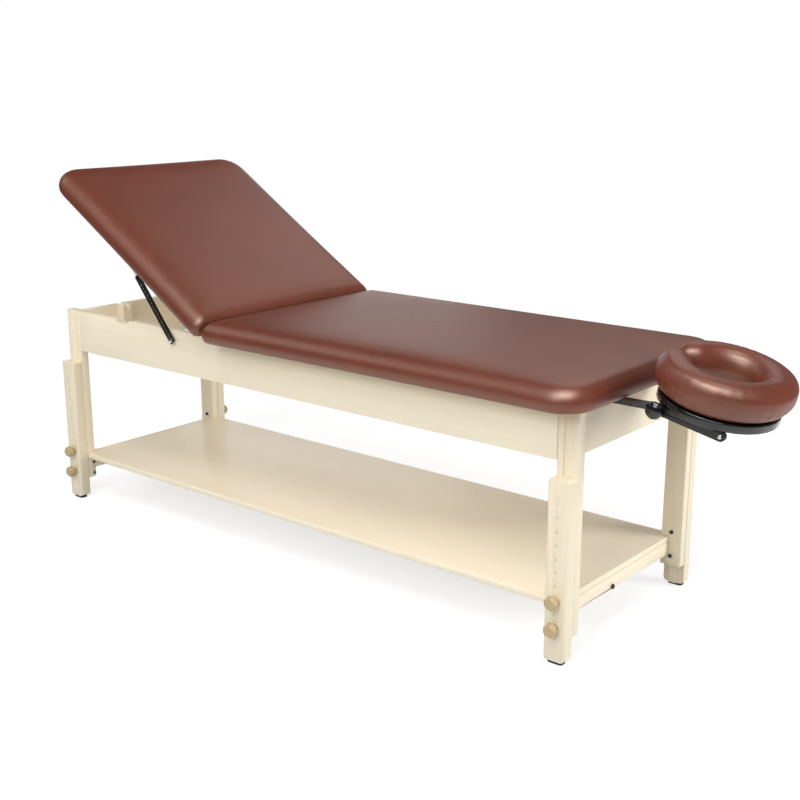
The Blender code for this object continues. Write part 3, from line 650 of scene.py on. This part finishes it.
def work_cushion(made, up, sizes):
    """Draws up the ridge round the top of the face cushion and presses the folds into its far bend."""
    along = (Vector((1.0, 0.0, 0.0)) - up * up.x).normalized()
    across = up.cross(along)
    vertices = made.data.vertices
    spots = [Vector((v.co.dot(along), v.co.dot(across), v.co.dot(up))) for v in vertices]
    low = [min(spot[axis] for spot in spots) for axis in range(3)]
    high = [max(spot[axis] for spot in spots) for axis in range(3)]
    middle = Vector((high[0] - CUSHION_LONG, (low[1] + high[1]) / 2, (low[2] + high[2]) / 2))
    long = CUSHION_LONG - CUSHION_TUBE
    wide = CUSHION_WIDE - CUSHION_TUBE
    for vertex, spot in zip(vertices, spots):
        u, v, rise = spot - middle
        turn = math.atan2(v / wide, u / long)
        outward = Vector((math.cos(turn) / long, math.sin(turn) / wide)).normalized()
        reach = (Vector((u, v)) - Vector((long * math.cos(turn), wide * math.sin(turn)))).dot(outward)
        slope = math.degrees(math.atan2(rise, reach))
        away = (along * outward.x + across * outward.y) * math.cos(math.radians(slope))
        away += up * math.sin(math.radians(slope))
        ends = min(1.0, RIDGE_RISE * (math.pi - abs(turn)))
        ridge = sizes.ridge * bell(slope, RIDGE_SLOPE, RIDGE_SPREAD) * ends
        fold = sum(share * bell(turn, place, FOLD_WIDTH) for place, share in FOLDS)
        inner = bell(slope, FOLD_SLOPE, FOLD_SPREAD)
        vertex.co += away * (ridge - sizes.fold_depth * fold * inner)


def upholster(table, name, node, body, face_size, pressure, swell, slack):
    """One leather cover over foam that stands for a CAD pad and moves with its body."""
    made = even_copy(name, node, face_size)
    up = up_of(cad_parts[node].data)
    fill(made, up, pressure, swell, slack)
    if node == "face_cushion":
        work_cushion(made, up, table.sizes)
    else:
        round_sides(made, up, table.sizes.side_roll)
    made.data.shade_smooth()
    made.data.materials.clear()
    made.data.materials.append(shared("pebbled_leather", leather, table))
    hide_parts(node)
    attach(made, body)


class BoardsOperator(bpy.types.Operator):
    """Paint the posts, aprons, stretchers and shelf"""

    bl_idname = "massage_table.boards"
    bl_label = "Frame boards"

    def execute(self, context):
        table = context.scene.massage_table
        edge = table.sizes.board_edge
        # Aprons, end aprons, stretchers and shelf take the paler boards colour: painted light against the
        # shade under the pads
        boards = table.colours.boards
        dress(painted_wood(0, boards, "cream_wood_x"), "apron_front", "apron_back", "shelf", edge=edge)
        ends = ("end_apron_left", "end_apron_right", "stretcher_left", "stretcher_right")
        dress(painted_wood(1, boards, "cream_wood_y"), *ends, edge=edge)
        dress(shared("cream_wood_z", upright_wood, table), *["post_" + c for c in CORNERS], edge=edge)
        for corner in CORNERS:
            post_screws(table, corner)
        return {"FINISHED"}


class LegsOperator(bpy.types.Operator):
    """Paint the sliding legs and dress their feet and bolts"""

    bl_idname = "massage_table.legs"
    bl_label = "Sliding legs"

    def execute(self, context):
        table = context.scene.massage_table
        cream = shared("cream_wood_z", upright_wood, table)
        dress(cream, *["leg_" + c for c in CORNERS], edge=table.sizes.board_edge)
        for corner in CORNERS:
            hole_liners(table, corner)
        dress(foot_rubber(table), *["foot_" + c for c in CORNERS])
        bolts = [f"leg_bolt_{c}_{end}" for c in CORNERS for end in LEVELS]
        dress(shared("black_enamel", black_steel, table), "stretcher_bolt", *bolts)
        return {"FINISHED"}


class KnobsOperator(bpy.types.Operator):
    """Give the fluted leg knobs their tan wood"""

    bl_idname = "massage_table.knobs"
    bl_label = "Leg knobs"

    def execute(self, context):
        table = context.scene.massage_table
        dress(turned_wood(table), *[f"knob_{c}_{end}" for c in CORNERS for end in LEVELS])
        return {"FINISHED"}


class DecksOperator(bpy.types.Operator):
    """Dress the boards under the pads and the hinge that joins them"""

    bl_idname = "massage_table.decks"
    bl_label = "Decks and hinge"

    def execute(self, context):
        table = context.scene.massage_table
        dress(plywood(table), "main_deck", "back_deck")
        dress(shared("plated_steel", bright_steel, table), "hinge_leaf_fixed", "hinge_leaf_moving")
        return {"FINISHED"}


class StaysOperator(bpy.types.Operator):
    """Dress the stays that hold up the back section"""

    bl_idname = "massage_table.stays"
    bl_label = "Back stays"

    def execute(self, context):
        table = context.scene.massage_table
        black = shared("black_enamel", black_steel, table)
        bright = shared("plated_steel", bright_steel, table)
        zinc = pale_steel(table)
        edge = table.sizes.metal_edge
        for side in SIDES:
            dress(black, "stay_channel_" + side, "stay_bracket_" + side, edge=edge)
            dress(zinc, "stay_bar_" + side, edge=edge)
            dress(bright, "stay_pivot_bolt_" + side)
        return {"FINISHED"}


class CradleOperator(bpy.types.Operator):
    """Dress the arms, rails, plate and knob of the face cradle"""

    bl_idname = "massage_table.cradle"
    bl_label = "Face cradle"

    def execute(self, context):
        table = context.scene.massage_table
        edge = table.sizes.metal_edge
        plastic = black_plastic(table)
        dress(plastic, "cradle_plate", edge=edge)
        dress(plastic, "cradle_knob")
        dress(grey_steel(table), "cradle_arm_front", "cradle_arm_back", edge=edge)
        black = shared("black_enamel", black_steel, table)
        bright = shared("plated_steel", bright_steel, table)
        for side in SIDES:
            dress(black, "cradle_rail_" + side, edge=edge)
            dress(bright, "cradle_rail_bolt_" + side)
        dress(bright, "cradle_pivot_rod")
        return {"FINISHED"}


class PadsOperator(bpy.types.Operator):
    """Upholster the long pad and the back pad"""

    bl_idname = "massage_table.pads"
    bl_label = "Long pads"

    def execute(self, context):
        table = context.scene.massage_table
        sizes = table.sizes
        for name, node, body in PADS:
            upholster(table, name, node, body, sizes.pad_mesh, PAD_PRESSURE, sizes.pad_swell,
                      PAD_SLACK)
        return {"FINISHED"}


class CushionOperator(bpy.types.Operator):
    """Upholster the horseshoe cushion of the face cradle"""

    bl_idname = "massage_table.cushion"
    bl_label = "Face cushion"

    def execute(self, context):
        table = context.scene.massage_table
        sizes = table.sizes
        upholster(table, "face_cover", "face_cushion", "cradle_platform", sizes.cushion_mesh,
                  CUSHION_PRESSURE, sizes.cushion_swell, CUSHION_SLACK)
        return {"FINISHED"}


def softbox(name, watts):
    """One of the soft lamps, which aren't in the picture themselves."""
    place, target, wide, tall = LAMPS[name]
    lamp = bpy.data.lights.new(name + "_lamp", "AREA")
    lamp.shape = "RECTANGLE"
    lamp.size = wide
    lamp.size_y = tall
    lamp.energy = watts
    made = bpy.data.objects.new(name + "_lamp", lamp)
    made.location = place
    aim = Vector(target) - Vector(place)
    made.rotation_euler = aim.to_track_quat("-Z", "Y").to_euler()
    made.visible_camera = False
    made.visible_glossy = name != MATT_LAMP
    made.visible_diffuse = name != GLOSS_LAMP
    bpy.context.scene.collection.objects.link(made)


def lay_floor(stage):
    """A pale floor that keeps the table's shadow and fades away around it."""
    reach = stage.floor_reach
    mesh = bpy.data.meshes.new("floor")
    corners = [(x * reach, y * reach, 0.0) for x, y in ((-1, -1), (1, -1), (1, 1), (-1, 1))]
    mesh.from_pydata(corners, [], [(0, 1, 2, 3)])
    floor = bpy.data.objects.new("floor", mesh)
    bpy.context.scene.collection.objects.link(floor)
    made = Finish("pale_floor")
    haze = made.place.clouds(1.5, 2.0, 0.5)
    path = made.tree.nodes.new("ShaderNodeLightPath")
    seen = Shade(made.tree, path.outputs["Is Camera Ray"])
    mirrored = Shade(made.tree, path.outputs["Is Glossy Ray"])
    lit = seen.math("MAXIMUM", seen, mirrored).mix((0.0, 0.0, 0.0, 1.0), (1.0, 1.0, 1.0, 1.0))
    made.done(Base_Color=haze.mix(tint(stage.floor, 0.99), tint(stage.floor, 1.01)), Roughness=0.9,
              Specular_IOR_Level=0.1, Emission_Color=lit, Emission_Strength=stage.floor_lift)
    away = made.place.node("ShaderNodeVectorMath", {"operation": "LENGTH"}, {0: made.place}, "Value")
    clear = made.place.node("ShaderNodeBsdfTransparent")
    fade = away.ramp(reach * FADE_START, reach * FADE_END)
    shown = made.place.node("ShaderNodeMixShader", None, {
        0: fade, 1: Shade(made.tree, made.surface.outputs[0]), 2: clear})
    output = made.tree.nodes["Material Output"]
    made.tree.links.new(shown.socket, output.inputs["Surface"])
    made.material.cycles.emission_sampling = "NONE"
    mesh.materials.append(made.material)


def light_world(stage):
    """White behind the table, and a plain even light from all around it."""
    world = bpy.data.worlds.new("studio")
    world.use_nodes = True
    tree = world.node_tree
    path = tree.nodes.new("ShaderNodeLightPath")
    seen = Shade(tree, path.outputs["Is Camera Ray"])
    glossy = Shade(tree, path.outputs["Is Glossy Ray"])
    through = Shade(tree, path.outputs["Is Transmission Ray"])
    toward = tree.nodes.new("ShaderNodeTexCoord")
    parts = tree.nodes.new("ShaderNodeSeparateXYZ")
    tree.links.new(toward.outputs["Generated"], parts.inputs["Vector"])
    rear = Shade(tree, parts.outputs["Y"]).ramp(*BACKDROP_SIDE)
    rise = Shade(tree, parts.outputs["Z"])
    mirrored = stage.gloss + rear * (1.0 - rise.ramp(*BACKDROP_TOP)) * (stage.backdrop - stage.gloss)
    scattered = stage.sky + rise.ramp(*SKY_TOP) * (stage.ceiling - stage.sky)
    around = scattered * (1.0 - glossy) + glossy * mirrored
    clear = seen.math("MAXIMUM", seen, through)
    background = tree.nodes["Background"]
    feed(tree, background.inputs["Color"], (1.0, 1.0, 1.0, 1.0))
    feed(tree, background.inputs["Strength"], clear + (1.0 - clear) * around)
    world.cycles.sampling_method = "NONE"
    bpy.context.scene.world = world


class StageOperator(bpy.types.Operator):
    """Set up the floor, the light and the camera"""

    bl_idname = "massage_table.stage"
    bl_label = "Stage"

    def execute(self, context):
        scene = context.scene
        stage = scene.massage_table.stage
        lay_floor(stage)
        light_world(stage)
        for name in LAMPS:
            softbox(name, getattr(stage, name))
        camera = bpy.data.cameras.new("camera")
        camera.lens = CAMERA_LENS
        camera.sensor_width = CAMERA_SENSOR
        made = bpy.data.objects.new("camera", camera)
        made.location = CAMERA_PLACE
        made.rotation_euler = CAMERA_TURN
        scene.collection.objects.link(made)
        scene.camera = made
        scene.view_settings.view_transform = "Standard"
        return {"FINISHED"}


OPERATORS = (BoardsOperator, LegsOperator, KnobsOperator, DecksOperator, StaysOperator, CradleOperator,
             PadsOperator, CushionOperator, StageOperator)


class TablePanel(bpy.types.Panel):
    """Sizes, colours and steps of the massage table"""

    bl_idname = "VIEW3D_PT_massage_table"
    bl_label = "Massage table"
    bl_space_type = "VIEW_3D"
    bl_region_type = "UI"
    bl_category = "Massage table"

    def draw(self, context):
        table = context.scene.massage_table
        for group in (table.sizes, table.colours, table.stage):
            box = self.layout.box()
            for key in group.__annotations__:
                box.prop(group, key)
        for operator in OPERATORS:
            self.layout.operator(operator.bl_idname)


CLASSES = (TableSizes, TableColours, TableStage, MassageTable, *OPERATORS, TablePanel)


def register():
    """Adds the classes and the table's settings."""
    for made in CLASSES:
        bpy.utils.register_class(made)
    bpy.types.Scene.massage_table = PointerProperty(type=MassageTable)


def unregister():
    """Takes away what register added."""
    del bpy.types.Scene.massage_table
    for made in reversed(CLASSES):
        bpy.utils.unregister_class(made)


def main():
    """Dresses the table piece by piece."""
    register()
    steps = bpy.ops.massage_table
    steps.boards()
    steps.legs()
    steps.knobs()
    steps.decks()
    steps.stays()
    steps.cradle()
    steps.pads()
    steps.cushion()
    steps.stage()


if __name__ == "__main__":
    main()
